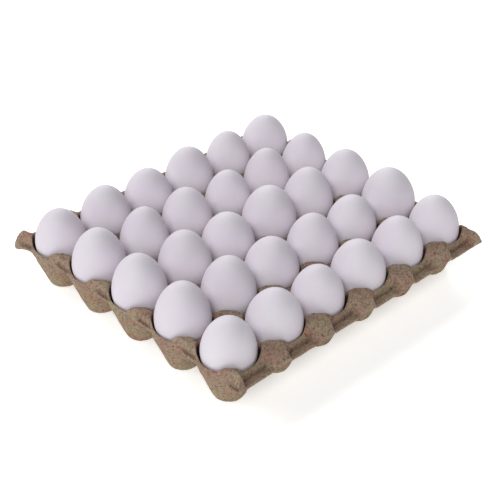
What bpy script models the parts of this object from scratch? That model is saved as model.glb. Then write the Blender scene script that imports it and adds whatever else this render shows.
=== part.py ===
"""A tray of moulded paper pulp with thirty white eggs, one in each of its 6 x 5 cups.

The tray is one sheet of pulp. Each cup is a cone that opens upwards from a flat foot, and its wall
stands steeper above the waist. Between the cups the sheet runs over low ridges, and a broad hollow
post stands wherever four cups meet. The two short sides are trimmed close to the cups. The two long
sides end in a narrow shelf, and a blunt nose runs out over it from each post.

Metres, +Z up. The origin is on the ground under the middle of the tray.
"""

import math
import random

import bmesh
import bpy
from mathutils import Quaternion, Vector

NAME = "egg_tray"

# Cups: six along X and five along Y.
CUPS_X = 6
CUPS_Y = 5
PITCH_X = 0.0476
PITCH_Y = 0.0505
HALF_X = CUPS_X * PITCH_X / 2
HALF_Y = CUPS_Y * PITCH_Y / 2

# The pulp sheet and a cup: inner floor, outer foot, waist, and the radius gained per metre of height.
SHEET = 0.0022
FLOOR_RADIUS = 0.0102
FOOT_RADIUS = 0.0124
WAIST_HEIGHT = 0.0320
FLARE = 0.392
UPPER_FLARE = 0.232

# Posts, and the ridges between them.
POST_TOP = 0.0434
POST_CORE = 0.0115
POST_SKIRT = 0.0165
RIDGE_ALONG_X = 0.0374
RIDGE_ALONG_Y = 0.0364

# The short sides: where the edge is trimmed, its height at the corners and its rise between them.
TRIM_X = 0.0003
CUP_RIM = 0.0250
EDGE_HEIGHT = 0.0332
SIDE_RISE = 0.0028
SIDE_SLOPE = 1.6
FLAP_DEPTH = 0.0043
FLAP_CORE = 0.0050
FLAP_SKIRT = 0.0220

# The long sides: the shelf with its crease, and the noses.
SHELF = 0.0090
NOSE_REACH = 0.0014
CREASE = 0.0015
SHELF_SLOPE = 0.05
STEP_SLOPE = 1.5
NOSE_CORE = 0.0092
NOSE_SKIRT = 0.0116
NOSE_TAPER = 0.0042
CORNER_TAPER = 0.0024
NOSE_ROUNDING = 2.0
CORNER_ROUNDING = 5.0
NOSE_CREST = 0.0060
POST_SETBACK = 0.0020
RIDGE_SETBACK = 0.0008

# Facets: where the edges along a cell's border lie, from its middle to its corner, above and below,
# turns round an egg and points from end to end of it.
UPPER_STOPS = (0.0, 0.25, 0.5, 0.6, 1.0)
UNDER_STOPS = (0.0, 0.25, 0.5, 1.0)
EGG_TURNS = 10
EGG_POINTS = 7

# Eggs: grades as width and length, and the grade in each cup, from the back row to the front.
EGG_GRADES = {
    "medium": (0.0434, 0.0562),
    "large": (0.0442, 0.0582),
    "short": (0.0430, 0.0535),
    "long": (0.0416, 0.0605),
    "slim": (0.0410, 0.0576),
    "jumbo": (0.0466, 0.0565),
    "round": (0.0448, 0.0522),
}
EGG_ROWS = (
    ("short", "medium", "short", "medium", "slim", "short"),
    ("large", "long", "medium", "slim", "long", "slim"),
    ("large", "large", "round", "jumbo", "large", "large"),
    ("large", "large", "round", "medium", "short", "jumbo"),
    ("short", "round", "short", "round", "medium", "medium"),
)
BLUNT_SHARE = 0.437
POINTEDNESS = 0.08
EGG_CLEARANCE = 0.0012
LARGEST_LEAN = math.radians(2.5)
LEAN_SEED = 30

PULP_COLOUR = (0.230, 0.180, 0.140, 1.0)
SHELL_COLOUR = (0.780, 0.750, 0.780, 1.0)


def smoothstep(value):
    """0 below 0, 1 above 1 and a smooth rise between."""
    value = min(max(value, 0.0), 1.0)
    return value * value * (3 - 2 * value)


def make_material(name, colour, roughness):
    material = bpy.data.materials.new(name)
    material.use_nodes = True
    shader = material.node_tree.nodes["Principled BSDF"]
    shader.inputs["Base Color"].default_value = colour
    shader.inputs["Roughness"].default_value = roughness
    material.diffuse_color = colour
    return material


def cup_centre(x, y):
    """The middle of the cup nearest to a point."""
    column = min(max(math.floor(x / PITCH_X + CUPS_X / 2), 0), CUPS_X - 1)
    row = min(max(math.floor(y / PITCH_Y + CUPS_Y / 2), 0), CUPS_Y - 1)
    return Vector(((column + 0.5) * PITCH_X - HALF_X, (row + 0.5) * PITCH_Y - HALF_Y))


def nearest_post(x, y):
    """The middle of the post nearest to a point."""
    column = min(max(round(x / PITCH_X + CUPS_X / 2), 0), CUPS_X)
    row = min(max(round(y / PITCH_Y + CUPS_Y / 2), 0), CUPS_Y)
    return Vector((column * PITCH_X - HALF_X, row * PITCH_Y - HALF_Y))


def post_share(x, y):
    """1 on a post, 0 on the ridge halfway to the next one."""
    distance = (Vector((x, y)) - nearest_post(x, y)).length
    return smoothstep((POST_SKIRT - distance) / (POST_SKIRT - POST_CORE))


def by_nose(x, inner, corner):
    """The value for the nearest nose, which may be one of the corners."""
    return corner if abs(x) > HALF_X - PITCH_X / 2 else inner


def nose_share(x, run):
    """1 along the middle of a nose, 0 between the noses. A nose narrows as it runs out, from 0 to 1."""
    aside = abs(x - nearest_post(x, 0).x) + by_nose(x, NOSE_TAPER, CORNER_TAPER) * run
    return smoothstep((NOSE_SKIRT - aside) / (NOSE_SKIRT - NOSE_CORE))


def side_trim(y):
    """How far the short sides reach: a straight trim, except where the rim of a cup bulges past it."""
    aside = y - cup_centre(0, y).y
    bulge = math.sqrt(max(CUP_RIM ** 2 - aside ** 2, 0.0)) - PITCH_X / 2
    return HALF_X + max(TRIM_X, bulge)


def side_crest(y):
    """Where the slope of the short sides begins: further in at the posts than at the cups."""
    aside = abs(y - nearest_post(0, y).y)
    share = min(max((FLAP_SKIRT - aside) / (FLAP_SKIRT - FLAP_CORE), 0.0), 1.0)
    return HALF_X - FLAP_DEPTH * share


def side_edge_height(y):
    """The top of the trimmed edge on the short sides, lowest at the corners."""
    return EDGE_HEIGHT + SIDE_RISE * (1 - min(abs(y) / HALF_Y, 1.0) ** 4)


def side_limit(x, y):
    """The outer face on the short sides: one slope down to the edge."""
    return side_edge_height(y) + SIDE_SLOPE * (side_trim(y) - abs(x))


def lean_to_nose(x):
    """How far the flank of a nose moves sideways as it narrows, fading to its middle and to the gap's."""
    offset = nearest_post(x, 0).x - x
    share = min(abs(offset) / NOSE_CORE, (PITCH_X / 2 - abs(offset)) / (PITCH_X / 2 - NOSE_SKIRT), 1.0)
    return math.copysign(by_nose(x, NOSE_TAPER, CORNER_TAPER) * share, offset)


def shelf_start(x):
    """Where the step of the long sides begins: further in at the noses than between them."""
    return HALF_Y - RIDGE_SETBACK - (POST_SETBACK - RIDGE_SETBACK) * nose_share(x, 0.0)


def shelf_edge(x):
    """How far the long sides reach: a little further at the noses."""
    return HALF_Y + SHELF + NOSE_REACH * nose_share(x, 1.0)


def shelf_limit(x, y):
    """The outer face on the long sides: the step down to the shelf, and a rounded nose at each post."""
    crease_height = EDGE_HEIGHT + SHELF_SLOPE * (SHELF - CREASE)
    step = crease_height + STEP_SLOPE * (HALF_Y + CREASE - abs(y))
    shelf = EDGE_HEIGHT + SHELF_SLOPE * (HALF_Y + SHELF - abs(y))
    start = HALF_Y - POST_SETBACK
    run = min(max((abs(y) - start) / (shelf_edge(x) - start), 0.0), 1.0)
    share = nose_share(x, run)
    rounding = by_nose(x, NOSE_ROUNDING, CORNER_ROUNDING)
    nose = EDGE_HEIGHT + (POST_TOP - EDGE_HEIGHT) * (1 - run ** rounding)
    valley = max(shelf, step)
    if abs(y) <= start:
        return valley + (POST_TOP - valley) * share if valley < POST_TOP else valley
    return valley + max(nose - valley, 0.0) * share


def land_height(x, y):
    """The upper side of the sheet between the cups and round them."""
    offset = Vector((x, y)) - cup_centre(x, y)
    between_columns = abs(offset.x) / PITCH_X > abs(offset.y) / PITCH_Y
    ridge = RIDGE_ALONG_Y if between_columns else RIDGE_ALONG_X
    land = ridge + (POST_TOP - ridge) * post_share(x, y)
    return min(land, side_limit(x, y), shelf_limit(x, y))


def cone_height(radius, base_radius, waist_radius):
    """The height of a cup's wall at a distance from its middle, from its foot past its waist."""
    if radius < waist_radius:
        return max(radius - base_radius, 0.0) / FLARE
    return (waist_radius - base_radius) / FLARE + (radius - waist_radius) / UPPER_FLARE


def wall_height(radius):
    """The inner side of a cup's wall."""
    waist_radius = FLOOR_RADIUS + (WAIST_HEIGHT - SHEET) * FLARE
    return SHEET + cone_height(radius, FLOOR_RADIUS, waist_radius)


def upper_height(x, y):
    radius = (Vector((x, y)) - cup_centre(x, y)).length
    return min(wall_height(radius), land_height(x, y))


def under_height(x, y):
    """The underside: one sheet below the land and inside its slopes, and the outside of a cup."""
    radius = (Vector((x, y)) - cup_centre(x, y)).length
    cup = cone_height(radius, FOOT_RADIUS, FOOT_RADIUS + WAIST_HEIGHT * FLARE)
    around = [land_height(x + dx, y + dy) for dx in (-SHEET, 0, SHEET) for dy in (-SHEET, 0, SHEET)]
    below_land = min(land_height(x, y) - SHEET, min(around))
    return min(max(below_land, EDGE_HEIGHT - SHEET), cup)


def lip_radius(centre, heading):
    """Where a cup's wall meets the land in one direction, by halving the interval."""
    inside, outside = FLOOR_RADIUS, Vector((PITCH_X, PITCH_Y)).length / 2
    for _ in range(20):
        radius = (inside + outside) / 2
        point = centre + heading * radius
        if wall_height(radius) < land_height(point.x, point.y):
            inside = radius
        else:
            outside = radius
    return inside


def upper_rings(centre, heading, border):
    """Distances of the rings of points in a cup: floor, waist, lip and the border of the cell."""
    waist = FLOOR_RADIUS + (WAIST_HEIGHT - SHEET) * FLARE
    return 0.0, FLOOR_RADIUS, waist, lip_radius(centre, heading), border


def under_rings(centre, heading, border):
    """The same for the underside: foot, waist and border."""
    waist = FOOT_RADIUS + WAIST_HEIGHT * FLARE
    return 0.0, FOOT_RADIUS, min(waist, border - SHEET / 2), border


def border_share(share, stops):
    """How far towards the corner of its cell a point of the border lies, read off the stops."""
    place = abs(share) * (len(stops) - 1)
    index = min(int(place), len(stops) - 2)
    value = stops[index] + (stops[index + 1] - stops[index]) * (place - index)
    return math.copysign(value, share)


def cup_point(column, row, stops, rings):
    """A point of the sheet's plan within a cup's cell, on square rings turned into round ones.

    Where the cell's border is an outer side, it is drawn in to the start of that side's slope.
    """
    half = len(stops) - 1
    cell_x = min(column // (2 * half), CUPS_X - 1)
    cell_y = min(row // (2 * half), CUPS_Y - 1)
    centre = Vector(((cell_x + 0.5) * PITCH_X - HALF_X, (cell_y + 0.5) * PITCH_Y - HALF_Y))
    across = column - cell_x * 2 * half - half
    along = row - cell_y * 2 * half - half
    ring = max(abs(across), abs(along))
    if ring == 0:
        return centre
    border = centre + Vector((border_share(across / ring, stops) * PITCH_X / 2,
                              border_share(along / ring, stops) * PITCH_Y / 2))
    if abs(border.x) > HALF_X - SHEET:
        border.x = math.copysign(side_crest(border.y), border.x)
    if abs(border.y) > HALF_Y - SHEET:
        border.y = math.copysign(shelf_start(border.x), border.y)
    heading = (border - centre).normalized()
    return centre + heading * rings(centre, heading, (border - centre).length)[ring]


def sheet_point(column, row, stops, rings):
    """A point of the sheet's plan. Columns and rows outside the cups form the outer edge."""
    last_column = CUPS_X * 2 * (len(stops) - 1)
    last_row = CUPS_Y * 2 * (len(stops) - 1)
    point = cup_point(min(max(column, 0), last_column), min(max(row, 0), last_row), stops, rings)
    beyond_x = max(-column, column - last_column)
    beyond_y = max(-row, row - last_row)
    if beyond_y >= 0:
        point.x += beyond_y / 2 * lean_to_nose(point.x)
        crest = CREASE + (NOSE_CREST - CREASE) * nose_share(point.x, beyond_y / 2)
        reach = (shelf_start(point.x), HALF_Y + crest, shelf_edge(point.x))[beyond_y]
        point.y = math.copysign(reach, point.y)
    if beyond_x >= 0:
        reach = (side_crest(point.y), side_trim(point.y))[beyond_x]
        point.x = math.copysign(reach, point.x)
    return point, beyond_x == 1


def upper_point(column, row):
    point, _ = sheet_point(column, row, UPPER_STOPS, upper_rings)
    return Vector((point.x, point.y, upper_height(point.x, point.y)))


def under_point(column, row):
    """The underside. On the short sides its outermost line is the inner side of the trimmed edge."""
    point, on_side_edge = sheet_point(column, row, UNDER_STOPS, under_rings)
    height = under_height(point.x, point.y)
    if on_side_edge:
        height = min(side_edge_height(point.y), upper_height(point.x, point.y)) - SHEET
        point.x -= math.copysign(SHEET / 4, point.x)
    return Vector((point.x, point.y, height))


def add_sheet_face(bm, place, stops):
    """One side of the sheet: a grid whose points are moved to their places."""
    columns = CUPS_X * 2 * (len(stops) - 1) + 2
    rows = CUPS_Y * 2 * (len(stops) - 1) + 4
    grid = bmesh.ops.create_grid(bm, x_segments=columns, y_segments=rows, size=1.0)
    for vert in grid["verts"]:
        column = round((vert.co.x + 1) / 2 * columns) - 1
        row = round((vert.co.y + 1) / 2 * rows) - 2
        vert.co = place(column, row)


def make_tray(collection):
    bm = bmesh.new()
    add_sheet_face(bm, upper_point, UPPER_STOPS)
    add_sheet_face(bm, under_point, UNDER_STOPS)
    bmesh.ops.bridge_loops(bm, edges=[edge for edge in bm.edges if edge.is_boundary])
    bmesh.ops.recalc_face_normals(bm, faces=bm.faces)
    mesh = bpy.data.meshes.new("tray")
    bm.to_mesh(mesh)
    bm.free()
    mesh.shade_smooth()
    mesh.set_sharp_from_angle(angle=math.radians(50))
    mesh.materials.append(make_material("pulp", PULP_COLOUR, 0.95))
    collection.objects.link(bpy.data.objects.new("tray", mesh))


def egg_profile(width, length):
    """Half the outline of an egg that stands on its blunt end, from the top down, round its widest level."""
    points = []
    for index in range(EGG_POINTS):
        angle = math.pi / 2 - math.pi * index / (EGG_POINTS - 1)
        share = 1 - BLUNT_SHARE if angle > 0 else BLUNT_SHARE
        taper = 1 - POINTEDNESS * math.sin(angle) ** 2 if angle > 0 else 1.0
        is_end = index in (0, EGG_POINTS - 1)
        radius = 0.0 if is_end else width / 2 * math.cos(angle) * taper
        points.append(Vector((radius, 0.0, length * share * math.sin(angle))))
    return points


def make_egg_mesh(grade, width, length, material):
    points = egg_profile(width, length)
    mesh = bpy.data.meshes.new("egg_" + grade)
    edges = [(index, index + 1) for index in range(len(points) - 1)]
    mesh.from_pydata(points, edges, [])
    mesh.materials.append(material)
    return mesh


def resting_height(points, lean):
    """The height at which a leaning egg just clears its cup."""
    lift = 0.0
    for step in range(EGG_TURNS * 2):
        turn = Quaternion((0, 0, 1), math.pi * step / EGG_TURNS)
        for point in points:
            placed = lean @ (turn @ point)
            radius = placed.xy.length + EGG_CLEARANCE
            lift = max(lift, wall_height(radius) - placed.z)
    return lift


def add_egg(collection, mesh, points, column, row, lean):
    egg = bpy.data.objects.new(f"egg_{column + 1}_{row + 1}", mesh)
    x = (column + 0.5) * PITCH_X - HALF_X
    y = HALF_Y - (row + 0.5) * PITCH_Y
    egg.location = (x, y, resting_height(points, lean))
    egg.rotation_mode = "QUATERNION"
    egg.rotation_quaternion = lean
    screw = egg.modifiers.new("turn", "SCREW")
    screw.steps = EGG_TURNS
    screw.render_steps = EGG_TURNS
    screw.use_merge_vertices = True
    screw.merge_threshold = 0.00001
    collection.objects.link(egg)


def make_eggs(collection):
    material = make_material("eggshell", SHELL_COLOUR, 0.5)
    meshes = {}
    for grade, (width, length) in EGG_GRADES.items():
        meshes[grade] = make_egg_mesh(grade, width, length, material)
    chance = random.Random(LEAN_SEED)
    for row, grades in enumerate(EGG_ROWS):
        for column, grade in enumerate(grades):
            bearing = chance.uniform(0, math.tau)
            axis = (math.cos(bearing), math.sin(bearing), 0)
            lean = Quaternion(axis, chance.uniform(0, LARGEST_LEAN))
            add_egg(collection, meshes[grade], egg_profile(*EGG_GRADES[grade]), column, row, lean)


def main():
    for item in list(bpy.data.objects):
        bpy.data.objects.remove(item, do_unlink=True)
    collection = bpy.data.collections.new(NAME)
    bpy.context.scene.collection.children.link(collection)
    make_tray(collection)
    make_eggs(collection)


main()
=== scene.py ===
"""Looks of an open tray of moulded paper pulp with thirty white eggs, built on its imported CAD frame.

The tray is one fine mesh on the form of its CAD solid, with the soft lips, rounded feet and uneven pulp
of the real thing. Its noses, its shelf, the folds of its short sides and one bent corner depart from the
solid a little, inside the CAD box. Each egg is a smooth shell on the axis of its CAD solid.
"""

import math

import bpy
import numpy as np
from mathutils import Matrix, Vector, noise


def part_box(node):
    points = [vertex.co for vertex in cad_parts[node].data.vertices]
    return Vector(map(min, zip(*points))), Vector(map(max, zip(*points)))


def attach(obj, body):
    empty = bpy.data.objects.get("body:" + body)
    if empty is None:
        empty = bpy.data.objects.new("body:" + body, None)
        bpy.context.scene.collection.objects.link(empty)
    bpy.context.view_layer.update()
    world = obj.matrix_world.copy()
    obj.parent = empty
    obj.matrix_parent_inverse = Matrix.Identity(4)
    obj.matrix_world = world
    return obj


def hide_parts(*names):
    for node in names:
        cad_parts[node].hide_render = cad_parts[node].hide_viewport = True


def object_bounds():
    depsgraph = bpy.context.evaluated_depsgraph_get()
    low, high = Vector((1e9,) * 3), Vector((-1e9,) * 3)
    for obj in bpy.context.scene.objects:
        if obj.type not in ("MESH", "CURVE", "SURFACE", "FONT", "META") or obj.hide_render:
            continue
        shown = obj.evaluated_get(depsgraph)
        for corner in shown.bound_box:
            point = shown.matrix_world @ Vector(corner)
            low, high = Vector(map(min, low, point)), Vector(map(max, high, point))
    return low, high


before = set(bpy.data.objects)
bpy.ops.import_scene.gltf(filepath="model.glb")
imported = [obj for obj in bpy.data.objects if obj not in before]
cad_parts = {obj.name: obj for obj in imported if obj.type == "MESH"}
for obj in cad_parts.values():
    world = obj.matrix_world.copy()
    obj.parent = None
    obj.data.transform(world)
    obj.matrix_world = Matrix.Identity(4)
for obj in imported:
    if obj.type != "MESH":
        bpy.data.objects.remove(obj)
CAD_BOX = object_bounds()

# Cups: six along X and five along Y.
CUPS_X, CUPS_Y = 6, 5
PITCH_X, PITCH_Y = 0.0476, 0.0505
HALF_X, HALF_Y = CUPS_X * PITCH_X / 2, CUPS_Y * PITCH_Y / 2

# The pulp sheet and a cup.
SHEET = 0.0022
FLOOR_RADIUS, FOOT_RADIUS = 0.0102, 0.0124
WAIST_HEIGHT, FLARE, UPPER_FLARE = 0.0320, 0.392, 0.232
FLOOR_FILLET, FOOT_FILLET = 0.0040, 0.0008

# Posts, and the ridges between them. RIDGE_BLEND is how sharply one ridge's height gives way to the other's.
POST_TOP, POST_CORE, POST_SKIRT, POST_CROWN = 0.0434, 0.0115, 0.0162, 0.0008
RIDGE_ALONG_X, RIDGE_ALONG_Y, RIDGE_BLEND = 0.0374, 0.0365, 4

# The short sides, trimmed close to the cups, with a flap at each post.
TRIM_X, CUP_RIM = 0.0003, 0.0250
EDGE_HEIGHT, SIDE_RISE, SIDE_CURVE, SIDE_SLOPE = 0.0332, 0.0028, 4, 1.6
FLAP_DEPTH, FLAP_CORE, FLAP_SKIRT = 0.0043, 0.0050, 0.0220

# The pinched fold on each flap, full over its middle and fading to its ends.
FOLD_DEPTH, FOLD_INSET, FOLD_WIDTH = 0.0016, 0.0016, 0.0014
FOLD_PLACE, FOLD_LENGTH, FOLD_FULLNESS = 0.0060, 0.0120, 1.4

# The long sides: shelf, crease, step, groove and noses.
SHELF, CREASE = 0.0090, 0.0015
NOSE_REACH, CORNER_REACH = -0.0004, 0.0008
SHELF_SLOPE, STEP_SLOPE, GROOVE = -0.16, 2.4, 0.0012
NOSE_CORE, NOSE_SKIRT = 0.0096, 0.0116
NOSE_TAPER, CORNER_TAPER = 0.0030, 0.0024
NOSE_ROUNDING, CORNER_ROUNDING = 3.2, 5.0
POST_SETBACK, RIDGE_SETBACK = 0.0020, 0.0008

# One corner, at -X and +Y, is bent down and has a thick tip.
BEND_DROP, BEND_REACH = 0.0040, 0.0220
TIP_DROP, TIP_REACH = 0.0022, 0.0120

# Where the underside looks round each point, in sheets, to stay one sheet away from the land.
SHEET_REACHES, SHEET_DIRECTIONS = (0.5, 0.87, 1.0), 8

# Mesh: rings from the middle of a cup to the border of its cell. The first ones have fixed radii, and the
# next are shares of the way up the wall.
RINGS = 17
FLOOR_RINGS = (0.0, 0.0035, 0.0070, 0.0095, 0.0116)
WALL_SHARES = (0.22, 0.42, 0.60, 0.74, 0.85, 0.93, 0.975, 1.0)
LIP_RING = len(FLOOR_RINGS) + len(WALL_SHARES) - 1
LIP_ROUNDS = 24
FOOT_RINGS = (0.0, 0.0040, 0.0080, 0.0108, 0.0123, 0.0138)
LAST_FOOT_RING, WAIST_RING = len(FOOT_RINGS) - 1, 13

# Mesh: rows across the outer edges. On the long sides they crowd together at the foot of the step.
SHELF_STOPS = (0.0, 0.08, 0.15, 0.21, 0.26, 0.32, 0.42, 0.54, 0.68, 0.82, 0.92, 1.0)
SHELF_ROWS = len(SHELF_STOPS) - 1
SIDE_ROWS, RIM_ROWS = 5, 4
RIM_BULGE, RIM_LEAN = 0.0008, SHEET / 4
RELAX_SHARE, LIP_RELAXING, NORMAL_RELAXING = 0.5, 1, 4

# The uneven surface of the pulp: the scale, height and offset of each noise.
PULP_RELIEF = ((70, 0.00030, (0, 0, 0)), (200, 0.00026, (7, 3, 1)), (420, 0.00014, (2, 9, 4)))

# Wrinkles on the short sides, placed by how far out they are from the outermost posts.
WRINKLE_HEIGHT, WRINKLE_ACROSS, WRINKLE_ALONG = 0.00070, 230, 60
WRINKLE_START, WRINKLE_RUN, WRINKLE_END = -0.0065, 0.0030, 0.0009
WRINKLE_COSINE, WRINKLE_SINE = 0.8, 0.6

# Painted shade on the pulp: on a cup's wall from this depth below its lip, in the groove and in the folds.
PAINTED_SHADE_START, PAINTED_SHADE_RUN = 0.0004, 0.0024
GROOVE_PAINTED_SHADE, FOLD_PAINTED_SHADE = 0.50, 0.70

EGG_TURNS, EGG_RINGS = 80, 48
BLUNT_SHARE, POINTEDNESS = 0.437, 0.08

# Colour ramps of the pulp, the first as a colour and the rest multiplied onto it, and of the eggshell.
WHITE = (1.0, 1.0, 1.0)
PULP_BASE = ((0.34, (0.276, 0.170, 0.126)), (0.50, (0.272, 0.203, 0.148)), (0.66, (0.286, 0.240, 0.156)))
PULP_GRAIN = ((0.34, (0.56, 0.54, 0.52)), (0.50, WHITE), (0.66, (1.34, 1.32, 1.28)))
PULP_FLECKS = ((0.61, WHITE), (0.69, (0.66, 0.42, 0.38)))
PULP_SPECKS = ((0.31, (0.56, 0.50, 0.48)), (0.38, WHITE))
PULP_HEIGHT = ((0.012, (1.13, 1.16, 1.10)), (0.036, (1.10, 1.08, 1.10)))
# The last pulp ramp is painted shade: it darkens the cup walls below the lip, the groove and the folds.
PULP_PAINTED_SHADE = ((0.0, WHITE), (1.0, (0.20, 0.15, 0.14)))
SHELL_TINT = ((0.35, (0.664, 0.612, 0.680)), (0.65, (0.690, 0.650, 0.704)))

# The camera: where it stands, what it looks at, and its roll in degrees.
CAMERA_PLACE, CAMERA_AIM = (-0.6175, -0.6282, 0.6192), (-0.0153, -0.0171, 0.0392)
CAMERA_LENS, CAMERA_SENSOR, CAMERA_ROLL, CAMERA_CLIP = 90.6, 36.0, 0.58, 0.05

# Each light's name, azimuth, elevation and softness in degrees, and its strength.
LIGHTS = (
    ("front", -55, 39, 30, 1.52),
    ("right", -10, 55, 25, 0.50),
    ("left", -135, 35, 25, 0.75),
    ("far_left", -170, 40, 25, 0.64),
    ("back", 140, 34, 30, 1.20),
    ("rim", 138, 14, 30, 0.50),
)
WORLD_STRENGTH = 0.05

# The white floor lies just below the feet.
FLOOR_SIDE, FLOOR_DROP, FLOOR_GLOW = 6.0, 0.0002, 0.46


def smoothstep(value):
    value = np.clip(value, 0.0, 1.0)
    return value * value * (3 - 2 * value)


def soft_max(a, b, width):
    """The greater of two heights, with a round transition of the given width."""
    share = np.clip(0.5 + 0.5 * (a - b) / width, 0.0, 1.0)
    return b + (a - b) * share + width * share * (1 - share)


def nearest_cup(x, y):
    column = np.clip(np.floor(x / PITCH_X + CUPS_X / 2), 0, CUPS_X - 1)
    row = np.clip(np.floor(y / PITCH_Y + CUPS_Y / 2), 0, CUPS_Y - 1)
    return (column + 0.5) * PITCH_X - HALF_X, (row + 0.5) * PITCH_Y - HALF_Y


def nearest_post(x, y):
    column = np.clip(np.round(x / PITCH_X + CUPS_X / 2), 0, CUPS_X)
    row = np.clip(np.round(y / PITCH_Y + CUPS_Y / 2), 0, CUPS_Y)
    return column * PITCH_X - HALF_X, row * PITCH_Y - HALF_Y


def by_nose(x, inner, corner):
    """The value for the nearest nose, which may be one of the corners."""
    return np.where(np.abs(x) > HALF_X - PITCH_X / 2, corner, inner)


def nose_share(x, run):
    """1 along the middle of a nose, 0 between the noses. A nose narrows as it runs out, from 0 to 1."""
    post_x, _ = nearest_post(x, x)
    aside = np.abs(x - post_x) + by_nose(x, NOSE_TAPER, CORNER_TAPER) * run
    return smoothstep((NOSE_SKIRT - aside) / (NOSE_SKIRT - NOSE_CORE))


def lean_to_nose(x):
    """How far the flank of a nose moves sideways as it narrows, fading to its middle and to the gap's."""
    offset = nearest_post(x, x)[0] - x
    fade = (PITCH_X / 2 - np.abs(offset)) / (PITCH_X / 2 - NOSE_SKIRT)
    share = np.minimum(np.minimum(np.abs(offset) / NOSE_CORE, fade), 1.0)
    return np.sign(offset) * by_nose(x, NOSE_TAPER, CORNER_TAPER) * share


def side_trim(y):
    """Where the short sides end: on a straight line, or a little further out where a cup bulges over it."""
    _, cup_y = nearest_cup(y, y)
    bulge = np.sqrt(np.maximum(CUP_RIM ** 2 - (y - cup_y) ** 2, 0.0)) - PITCH_X / 2
    return HALF_X + np.maximum(TRIM_X, bulge)


def side_crest(y):
    """Where the flaps of the short sides begin."""
    _, post_y = nearest_post(y, y)
    share = np.clip((FLAP_SKIRT - np.abs(y - post_y)) / (FLAP_SKIRT - FLAP_CORE), 0.0, 1.0)
    return HALF_X - FLAP_DEPTH * share


def side_edge_height(y):
    return EDGE_HEIGHT + SIDE_RISE * (1 - np.minimum(np.abs(y) / HALF_Y, 1.0) ** SIDE_CURVE)


def shelf_start(x):
    """Where the step of the long sides begins: further in at the noses than between them."""
    return HALF_Y - RIDGE_SETBACK - (POST_SETBACK - RIDGE_SETBACK) * nose_share(x, 0.0)


def shelf_edge(x):
    return HALF_Y + SHELF + by_nose(x, NOSE_REACH, CORNER_REACH) * nose_share(x, 1.0)


def shelf_limit(x, y):
    """The outer face on the long sides: the step down to the shelf, and a rounded nose at each post."""
    out = np.abs(y)
    crease_height = EDGE_HEIGHT + SHELF_SLOPE * (SHELF - CREASE)
    step = crease_height + STEP_SLOPE * (HALF_Y + CREASE - out)
    shelf = EDGE_HEIGHT + SHELF_SLOPE * (HALF_Y + SHELF - out)
    start = HALF_Y - POST_SETBACK
    run = np.clip((out - start) / (shelf_edge(x) - start), 0.0, 1.0)
    share = nose_share(x, run)
    nose = EDGE_HEIGHT + (POST_TOP - EDGE_HEIGHT) * (1 - run ** by_nose(x, NOSE_ROUNDING, CORNER_ROUNDING))
    valley = np.maximum(shelf, step)
    outside = valley + np.maximum(nose - valley, 0.0) * share
    inside = valley + np.maximum(POST_TOP - valley, 0.0) * share
    return np.where(out <= start, inside, outside)


def land_height(x, y):
    """The top of the sheet without its cups: posts, ridges and the slopes of the four sides."""
    cup_x, cup_y = nearest_cup(x, y)
    post_x, post_y = nearest_post(x, y)
    across, along = np.abs(x - cup_x) / PITCH_X, np.abs(y - cup_y) / PITCH_Y
    blend = smoothstep(0.5 + (across - along) * RIDGE_BLEND)
    ridge = RIDGE_ALONG_X + (RIDGE_ALONG_Y - RIDGE_ALONG_X) * blend
    distance = np.hypot(x - post_x, y - post_y)
    share = smoothstep((POST_SKIRT - distance) / (POST_SKIRT - POST_CORE))
    top = POST_TOP - POST_CROWN * np.minimum(distance / POST_CORE, 1.0) ** 2
    land = ridge + (top - ridge) * share
    side = side_edge_height(y) + SIDE_SLOPE * (side_trim(y) - np.abs(x))
    return np.minimum(np.minimum(land, side), shelf_limit(x, y))


def cone_height(radius, base_radius, fillet, foot):
    """A cup's wall above its floor or foot: a fillet, a cone and the steeper part over the waist."""
    waist_radius = base_radius + (WAIST_HEIGHT - foot) * FLARE
    cone = np.where(radius < waist_radius,
                    (radius - base_radius) / FLARE,
                    (waist_radius - base_radius) / FLARE + (radius - waist_radius) / UPPER_FLARE)
    return foot + soft_max(cone, 0.0, fillet)


def fold_share(x, y):
    """1 along the pinched fold that runs low on each flap of the short sides, beside its post."""
    _, post_y = nearest_post(y, y)
    inset = (side_trim(y) - np.abs(x) - FOLD_INSET) / FOLD_WIDTH
    along = (y - post_y + FOLD_PLACE) / FOLD_LENGTH
    return smoothstep(1 - np.abs(inset)) * smoothstep(FOLD_FULLNESS - FOLD_FULLNESS * np.abs(along))


def upper_height(x, y):
    cup_x, cup_y = nearest_cup(x, y)
    wall = cone_height(np.hypot(x - cup_x, y - cup_y), FLOOR_RADIUS, FLOOR_FILLET, SHEET)
    return np.minimum(wall, land_height(x, y)) - FOLD_DEPTH * fold_share(x, y)


def painted_shade(x, y):
    """Painted shade on the pulp: in the folds, in the groove of the shelf, and on the wall of a cup below its
    lip.
    """
    depth = land_height(x, y) - upper_height(x, y) - FOLD_DEPTH * fold_share(x, y)
    # Painted shade down a cup's wall below its lip, and in the groove at the foot of the step.
    inside = smoothstep((depth - PAINTED_SHADE_START) / PAINTED_SHADE_RUN)
    beside = np.abs(np.abs(y) - HALF_Y - CREASE) / CREASE
    groove = smoothstep(1 - beside) * (1 - nose_share(x, 0.0))
    return np.maximum(np.maximum(inside, GROOVE_PAINTED_SHADE * groove), FOLD_PAINTED_SHADE * fold_share(x, y))


def bent(x, y, z, tip_drop):
    """Bends the one corner down while the top of its post stays, and thickens its tip."""
    away = np.hypot(x + HALF_X, y - HALF_Y - SHELF)
    depth = np.clip((POST_TOP - z) / (POST_TOP - EDGE_HEIGHT), 0.0, 1.0)
    drop = BEND_DROP * smoothstep(1 - away / BEND_REACH) * depth
    return z - drop - tip_drop * smoothstep(1 - away / TIP_REACH)


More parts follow.
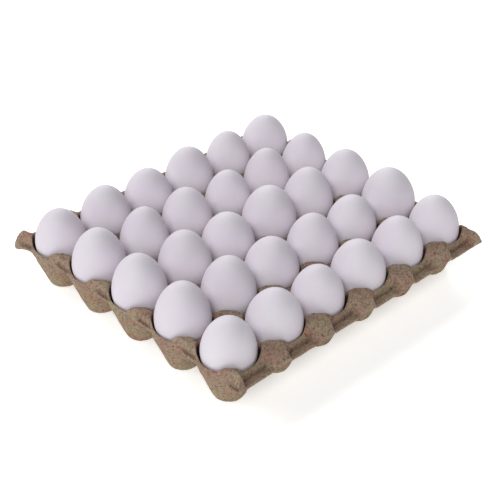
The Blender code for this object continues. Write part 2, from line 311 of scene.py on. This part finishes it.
def under_height(x, y):
    """The underside: everywhere about one sheet's thickness from the land, and outside the cup."""
    below = land_height(x, y) - SHEET
    for reach in SHEET_REACHES:
        drop = SHEET * math.sqrt(1 - reach * reach)
        for step in range(SHEET_DIRECTIONS):
            angle = math.tau * step / SHEET_DIRECTIONS
            dx, dy = reach * SHEET * math.cos(angle), reach * SHEET * math.sin(angle)
            below = np.minimum(below, land_height(x + dx, y + dy) - drop)
    cup_x, cup_y = nearest_cup(x, y)
    cup = cone_height(np.hypot(x - cup_x, y - cup_y), FOOT_RADIUS, FOOT_FILLET, 0.0)
    return np.minimum(np.maximum(below, EDGE_HEIGHT - SHEET - GROOVE), cup)


def lip_radius(cup_x, cup_y, head_x, head_y):
    """Where a cup's wall meets the land in each direction, by halving the interval."""
    inside = np.full_like(head_x, FLOOR_RADIUS)
    outside = np.full_like(head_x, math.hypot(PITCH_X, PITCH_Y) / 2)
    for _ in range(LIP_ROUNDS):
        radius = (inside + outside) / 2
        wall = cone_height(radius, FLOOR_RADIUS, FLOOR_FILLET, SHEET)
        below = wall < land_height(cup_x + head_x * radius, cup_y + head_y * radius)
        inside = np.where(below, radius, inside)
        outside = np.where(below, outside, radius)
    return inside


def upper_radius(ring, lip, border):
    """The radius of each ring on the upper face: over the floor, up the wall to the lip, and on the land."""
    radius = np.select([ring == k for k in range(len(FLOOR_RINGS))], FLOOR_RINGS, default=0.0)
    for k, share in enumerate(WALL_SHARES, len(FLOOR_RINGS)):
        radius = np.where(ring == k, FLOOR_RINGS[-1] + (lip - FLOOR_RINGS[-1]) * share, radius)
    land = lip + (border - lip) * ((ring - LIP_RING) / (RINGS - LIP_RING))
    return np.where(ring > LIP_RING, land, radius)


def under_radius(ring, border):
    """The radius of each ring on the underside: over the foot, up the wall to the waist, and on the land."""
    waist = np.minimum(FOOT_RADIUS + WAIST_HEIGHT * FLARE, border - SHEET / 2)
    radius = np.select([ring == k for k in range(len(FOOT_RINGS))], FOOT_RINGS, default=0.0)
    run = (ring - LAST_FOOT_RING) / (WAIST_RING - LAST_FOOT_RING)
    radius = np.where(ring > LAST_FOOT_RING, FOOT_RINGS[-1] + (waist - FOOT_RINGS[-1]) * run, radius)
    land = waist + (border - waist) * ((ring - WAIST_RING) / (RINGS - WAIST_RING))
    return np.where(ring > WAIST_RING, land, radius)


def plan(columns, rows, upper):
    """Where a face's points lie: rings round each cup, then rows over the outer edges. The third array is
    the row over a short side, and is 0 or less over the cups."""
    index_x, index_y = np.meshgrid(np.arange(-SIDE_ROWS, columns + SIDE_ROWS + 1),
                                   np.arange(-SHELF_ROWS, rows + SHELF_ROWS + 1), indexing="ij")
    column, row = np.clip(index_x, 0, columns), np.clip(index_y, 0, rows)
    cell_x = np.minimum(column // (2 * RINGS), CUPS_X - 1)
    cell_y = np.minimum(row // (2 * RINGS), CUPS_Y - 1)
    cup_x = (cell_x + 0.5) * PITCH_X - HALF_X
    cup_y = (cell_y + 0.5) * PITCH_Y - HALF_Y
    across = column - cell_x * 2 * RINGS - RINGS
    along = row - cell_y * 2 * RINGS - RINGS
    ring = np.maximum(np.abs(across), np.abs(along))
    safe = np.maximum(ring, 1)
    outward_x = (np.abs(cup_x) > HALF_X - PITCH_X) & (across * cup_x > 0)
    outward_y = (np.abs(cup_y) > HALF_Y - PITCH_Y) & (along * cup_y > 0)
    crest = side_crest(cup_y + along / safe * PITCH_Y / 2)
    border_x = across / safe * np.where(outward_x, crest - np.abs(cup_x), PITCH_X / 2)
    start = shelf_start(cup_x + border_x)
    border_y = along / safe * np.where(outward_y, start - np.abs(cup_y), PITCH_Y / 2)
    border = np.maximum(np.hypot(border_x, border_y), 1e-9)
    head_x, head_y = border_x / border, border_y / border
    if upper:
        radius = upper_radius(ring, lip_radius(cup_x, cup_y, head_x, head_y), border)
    else:
        radius = under_radius(ring, border)
    x = np.where(ring > 0, cup_x + head_x * radius, cup_x)
    y = np.where(ring > 0, cup_y + head_y * radius, cup_y)

    beyond_y = np.maximum(-index_y, index_y - rows)
    at = np.clip(beyond_y, 0, SHELF_ROWS)
    run = at / SHELF_ROWS
    x = x + run * lean_to_nose(x)
    start, end = shelf_start(x), shelf_edge(x) - RIM_BULGE
    shelf_stops = np.array(SHELF_STOPS)
    nose_stops = np.linspace(0.0, 1.0, SHELF_ROWS + 1)
    stop = shelf_stops[at] + (nose_stops[at] - shelf_stops[at]) * nose_share(x, run)
    y = np.where(beyond_y >= 0, np.sign(y) * (start + (end - start) * stop), y)

    beyond_x = np.maximum(-index_x, index_x - columns)
    crest, trim = side_crest(y), side_trim(y) - RIM_BULGE
    flap_x = crest + (trim - crest) * np.clip(beyond_x, 0, SIDE_ROWS) / SIDE_ROWS
    x = np.where(beyond_x >= 0, np.sign(x) * flap_x, x)
    return x, y, beyond_x


def grid_loop(count_x, count_y):
    """The indices of a grid's border, once round."""
    index = np.arange(count_x * count_y).reshape(count_x, count_y)
    return np.concatenate((index[:-1, 0], index[-1, :-1], index[:0:-1, -1], index[0, :0:-1]))


def upper_face(columns, rows):
    """The points of the upper face as a grid, and how much painted shade each one gets."""
    x, y, _ = plan(columns, rows, True)
    z = bent(x, y, upper_height(x, y), 0.0)
    return np.stack((x, y, z), axis=-1), painted_shade(x, y)


def under_face(columns, rows):
    """The points of the underside as a grid. Under the flaps it draws closer, to a rim one sheet thick."""
    x, y, beyond_x = plan(columns, rows, False)
    z = under_height(x, y)
    edge_z = np.minimum(side_edge_height(y), upper_height(x, y)) - SHEET
    share = np.clip(beyond_x / SIDE_ROWS, 0.0, 1.0) ** 2
    z = z + (edge_z - z) * share
    x = x - np.sign(x) * share * RIM_LEAN
    return np.stack((x, y, bent(x, y, z, TIP_DROP)), axis=-1)


def rim_rows(top, bottom):
    """Rows of points that round the rim, from its upper border to its lower one."""
    ahead = np.roll(top, -1, axis=0) - np.roll(top, 1, axis=0)
    half = (top - bottom) / 2
    outward = np.cross(ahead, half)
    outward /= np.linalg.norm(outward, axis=1, keepdims=True)
    for step in range(1, RIM_ROWS + 1):
        turn = math.pi * step / (RIM_ROWS + 1)
        yield (top + bottom) / 2 + half * math.cos(turn) + outward * RIM_BULGE * math.sin(turn)


def tray_mesh():
    columns, rows = CUPS_X * 2 * RINGS, CUPS_Y * 2 * RINGS
    upper, painted_shade_grid = upper_face(columns, rows)
    under = under_face(columns, rows)
    count_x, count_y = upper.shape[:2]
    total = count_x * count_y
    index = np.arange(total).reshape(count_x, count_y)
    quads = np.stack((index[:-1, :-1], index[1:, :-1], index[1:, 1:], index[:-1, 1:]), axis=-1).reshape(-1, 4)
    faces = [quads, quads[:, ::-1] + total]

    loop = grid_loop(count_x, count_y)
    points = [upper.reshape(-1, 3), under.reshape(-1, 3)]
    points += rim_rows(points[0][loop], points[1][loop])
    steps = [np.arange(len(loop)) + 2 * total + row * len(loop) for row in range(RIM_ROWS)]
    steps = [loop, *steps, loop + total]
    for previous, current in zip(steps, steps[1:]):
        faces.append(np.stack((previous, current, np.roll(current, -1), np.roll(previous, -1)), axis=-1))

    mesh = bpy.data.meshes.new("pulp_tray")
    mesh.from_pydata(np.concatenate(points).tolist(), [], np.concatenate(faces).tolist())
    mesh.validate()
    mesh.update()
    # The painted shade of the upper face, kept as a point attribute for the pulp material.
    painted_shade_values = np.zeros(len(mesh.vertices), dtype=np.float32)
    painted_shade_values[:total] = painted_shade_grid.reshape(-1)
    mesh.attributes.new("painted_shade", "FLOAT", "POINT").data.foreach_set("value", painted_shade_values)
    return mesh


def relax(points, mesh, rounds):
    """Moves each point towards the middle of its neighbours, which rounds lips and creases."""
    ends = np.empty(len(mesh.edges) * 2, dtype=np.int64)
    mesh.edges.foreach_get("vertices", ends)
    ends = ends.reshape(-1, 2)
    count = np.bincount(ends.ravel(), minlength=len(points))[:, None]
    for _ in range(rounds):
        total = np.zeros_like(points)
        np.add.at(total, ends[:, 0], points[ends[:, 1]])
        np.add.at(total, ends[:, 1], points[ends[:, 0]])
        points = points + RELAX_SHARE * (total / count - points)
    return points


def pulp_relief(point):
    """How far the surface of the pulp stands proud at a point, in metres."""
    return sum(height * noise.noise(point * scale + Vector(offset)) for scale, height, offset in PULP_RELIEF)


def flap_wrinkle(point):
    """Slanting wrinkles where the sheet is drawn down over the short sides."""
    out = abs(point.x) - HALF_X
    start = min(max((out - WRINKLE_START) / WRINKLE_RUN, 0.0), 1.0)
    share = start * min(max((WRINKLE_END - out) / WRINKLE_END, 0.0), 1.0)
    across = WRINKLE_COSINE * point.y + WRINKLE_SINE * point.z
    along = WRINKLE_COSINE * point.z - WRINKLE_SINE * point.y
    place = Vector((across * WRINKLE_ACROSS, along * WRINKLE_ALONG, point.x * WRINKLE_ALONG))
    return WRINKLE_HEIGHT * share * noise.noise(place)


def build_tray():
    mesh = tray_mesh()
    points = np.empty(len(mesh.vertices) * 3)
    mesh.vertices.foreach_get("co", points)
    points = relax(points.reshape(-1, 3), mesh, LIP_RELAXING)
    mesh.vertices.foreach_set("co", points.ravel())
    mesh.update()
    normals = np.empty(len(mesh.vertices) * 3)
    mesh.vertices.foreach_get("normal", normals)
    normals = relax(normals.reshape(-1, 3), mesh, NORMAL_RELAXING)
    relief = np.array([pulp_relief(Vector(p)) + flap_wrinkle(Vector(p)) for p in points])
    points = points + normals * relief[:, None]
    points = np.clip(points, CAD_BOX[0], CAD_BOX[1])
    mesh.vertices.foreach_set("co", points.ravel())
    mesh.update()
    mesh.shade_smooth()
    tray = bpy.data.objects.new("pulp_tray", mesh)
    bpy.context.scene.collection.objects.link(tray)
    return tray


def egg_axis(node):
    """The two ends of an egg's CAD solid, lowest first."""
    points = [vert.co.copy() for vert in node.data.vertices]
    return min(points, key=lambda p: p.z), max(points, key=lambda p: p.z)


def shell_mesh(name, length, width):
    """An egg on its blunt end, with its widest level at height 0."""
    angle = np.linspace(math.pi / 2, -math.pi / 2, EGG_RINGS + 1)[:, None]
    turn = np.linspace(0, math.tau, EGG_TURNS, endpoint=False)[None, :]
    upper_half = angle > 0
    share = np.where(upper_half, 1 - BLUNT_SHARE, BLUNT_SHARE)
    taper = np.where(upper_half, 1 - POINTEDNESS * np.sin(angle) ** 2, 1.0)
    radius = width / 2 * np.cos(angle) * taper
    z = np.broadcast_to(length * share * np.sin(angle), (EGG_RINGS + 1, EGG_TURNS))
    rings = np.stack((radius * np.cos(turn), radius * np.sin(turn), z), axis=-1)[1:-1].reshape(-1, 3)
    rings = np.concatenate((rings, ((0, 0, length * (1 - BLUNT_SHARE)), (0, 0, -length * BLUNT_SHARE))))
    count = EGG_RINGS - 1
    index = np.arange(count * EGG_TURNS).reshape(count, EGG_TURNS)
    after = np.roll(index, -1, axis=1)
    faces = np.stack((index[:-1], index[1:], after[1:], after[:-1]), axis=-1).reshape(-1, 4).tolist()
    tip = count * EGG_TURNS
    faces += [(tip, int(a), int(b)) for a, b in zip(index[0], after[0])]
    faces += [(tip + 1, int(b), int(a)) for a, b in zip(index[-1], after[-1])]
    mesh = bpy.data.meshes.new(name)
    mesh.from_pydata(rings.tolist(), [], faces)
    return mesh


def build_egg(name):
    bottom, top = egg_axis(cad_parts[name])
    low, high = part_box(name)
    length = (top - bottom).length
    axis = (top - bottom).normalized()
    upright = Vector((0, 0, 1)).rotation_difference(axis)
    centre = bottom + axis * length * BLUNT_SHARE
    mesh = shell_mesh("shell_" + name, length, high[0] - low[0])
    mesh.transform(Matrix.Translation(centre) @ upright.to_matrix().to_4x4())
    mesh.shade_smooth()
    egg = bpy.data.objects.new("shell_" + name, mesh)
    bpy.context.scene.collection.objects.link(egg)
    return egg


def new_material(name):
    material = bpy.data.materials.new(name)
    material.use_nodes = True
    return material, material.node_tree, material.node_tree.nodes["Principled BSDF"]


def noise_texture(tree, coords, scale, detail, roughness=0.5, distortion=0.0):
    node = tree.nodes.new("ShaderNodeTexNoise")
    node.inputs["Scale"].default_value = scale
    node.inputs["Detail"].default_value = detail
    node.inputs["Roughness"].default_value = roughness
    node.inputs["Distortion"].default_value = distortion
    tree.links.new(coords, node.inputs["Vector"])
    return node.outputs["Fac"]


def colour_ramp(tree, source, stops):
    node = tree.nodes.new("ShaderNodeValToRGB")
    elements = node.color_ramp.elements
    while len(elements) < len(stops):
        elements.new(0.5)
    for element, (place, colour) in zip(elements, stops):
        element.position = place
        element.color = (*colour, 1.0)
    tree.links.new(source, node.inputs["Fac"])
    return node.outputs["Color"]


def multiply(tree, first, second):
    node = tree.nodes.new("ShaderNodeMix")
    node.data_type = "RGBA"
    node.blend_type = "MULTIPLY"
    node.inputs["Factor"].default_value = 1.0
    tree.links.new(first, node.inputs["A"])
    tree.links.new(second, node.inputs["B"])
    return node.outputs["Result"]


def add_bump(tree, height, strength, distance):
    node = tree.nodes.new("ShaderNodeBump")
    node.inputs["Strength"].default_value = strength
    node.inputs["Distance"].default_value = distance
    tree.links.new(height, node.inputs["Height"])
    return node


def pulp_material():
    material, tree, shader = new_material("pulp")
    coords = tree.nodes.new("ShaderNodeTexCoord").outputs["Object"]
    split = tree.nodes.new("ShaderNodeSeparateXYZ")
    tree.links.new(coords, split.inputs["Vector"])
    # Painted shade: the attribute darkens the cup walls, the groove and the folds.
    painted_shade_value = tree.nodes.new("ShaderNodeAttribute")
    painted_shade_value.attribute_name = "painted_shade"
    colour = colour_ramp(tree, noise_texture(tree, coords, scale=60, detail=4, roughness=0.65), PULP_BASE)
    layers = (
        (noise_texture(tree, coords, scale=430, detail=5, roughness=0.8), PULP_GRAIN),
        (noise_texture(tree, coords, scale=520, detail=2), PULP_FLECKS),
        (noise_texture(tree, coords, scale=610, detail=2, distortion=0.4), PULP_SPECKS),
        (split.outputs["Z"], PULP_HEIGHT),
        (painted_shade_value.outputs["Fac"], PULP_PAINTED_SHADE),
    )
    for source, stops in layers:
        colour = multiply(tree, colour, colour_ramp(tree, source, stops))
    tree.links.new(colour, shader.inputs["Base Color"])
    shader.inputs["Roughness"].default_value = 0.95
    shader.inputs["Specular IOR Level"].default_value = 0.15

    fibre_noise = noise_texture(tree, coords, scale=900, detail=6, roughness=0.75, distortion=0.8)
    lump_noise = noise_texture(tree, coords, scale=260, detail=4, roughness=0.6)
    fibres = add_bump(tree, fibre_noise, strength=0.6, distance=0.0006)
    lumps = add_bump(tree, lump_noise, strength=0.5, distance=0.0010)
    tree.links.new(lumps.outputs["Normal"], fibres.inputs["Normal"])
    tree.links.new(fibres.outputs["Normal"], shader.inputs["Normal"])
    return material


def shell_material():
    material, tree, shader = new_material("eggshell")
    coords = tree.nodes.new("ShaderNodeTexCoord").outputs["Object"]
    tint = colour_ramp(tree, noise_texture(tree, coords, scale=30, detail=3), SHELL_TINT)
    tree.links.new(tint, shader.inputs["Base Color"])
    shader.inputs["Roughness"].default_value = 0.60
    shader.inputs["Specular IOR Level"].default_value = 0.20
    pore_noise = noise_texture(tree, coords, scale=1400, detail=3)
    pores = add_bump(tree, pore_noise, strength=0.12, distance=0.0002)
    tree.links.new(pores.outputs["Normal"], shader.inputs["Normal"])
    return material


def add_camera():
    data = bpy.data.cameras.new("camera")
    data.lens = CAMERA_LENS
    data.sensor_width = CAMERA_SENSOR
    data.clip_start = CAMERA_CLIP
    camera = bpy.data.objects.new("camera", data)
    camera.location = CAMERA_PLACE
    aim = Vector(CAMERA_AIM) - camera.location
    level = aim.to_track_quat("-Z", "Y").to_matrix()
    camera.rotation_euler = (level @ Matrix.Rotation(math.radians(CAMERA_ROLL), 3, "Z")).to_euler()
    bpy.context.scene.collection.objects.link(camera)
    bpy.context.scene.camera = camera


def add_light(name, azimuth, elevation, softness, strength):
    """A soft light that falls evenly over the tray. Azimuth 0 is in front of it, on the -Y side."""
    data = bpy.data.lights.new(name, "SUN")
    data.angle = math.radians(softness)
    data.energy = strength
    light = bpy.data.objects.new(name, data)
    turn, rise = math.radians(azimuth), math.radians(elevation)
    back = Vector((math.sin(turn) * math.cos(rise), -math.cos(turn) * math.cos(rise), math.sin(rise)))
    light.rotation_euler = back.to_track_quat("Z", "Y").to_euler()
    bpy.context.scene.collection.objects.link(light)


def add_stage():
    """The white floor and the surroundings."""
    mesh = bpy.data.meshes.new("floor")
    corners = [(x * FLOOR_SIDE, y * FLOOR_SIDE, 0) for x, y in ((-1, -1), (1, -1), (1, 1), (-1, 1))]
    mesh.from_pydata(corners, [], [(0, 1, 2, 3)])
    floor = bpy.data.objects.new("floor", mesh)
    floor.location.z = -FLOOR_DROP
    material, _, shader = new_material("floor")
    shader.inputs["Base Color"].default_value = (0.90, 0.90, 0.89, 1.0)
    shader.inputs["Emission Color"].default_value = (1.0, 1.0, 0.99, 1.0)
    shader.inputs["Emission Strength"].default_value = FLOOR_GLOW
    shader.inputs["Roughness"].default_value = 0.9
    mesh.materials.append(material)
    bpy.context.scene.collection.objects.link(floor)
    world = bpy.data.worlds.new("studio")
    world.use_nodes = True
    background = world.node_tree.nodes["Background"]
    background.inputs["Color"].default_value = (1.0, 1.0, 1.0, 1.0)
    background.inputs["Strength"].default_value = WORLD_STRENGTH
    bpy.context.scene.world = world


tray = build_tray()
tray.data.materials.append(pulp_material())
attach(tray, "root")
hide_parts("tray")

shell = shell_material()
for name in sorted(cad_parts):
    if name.startswith("egg_"):
        egg = build_egg(name)
        egg.data.materials.append(shell)
        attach(egg, "root")
        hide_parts(name)

add_camera()
for light in LIGHTS:
    add_light(*light)
add_stage()
bpy.context.scene.view_settings.view_transform = "Standard"
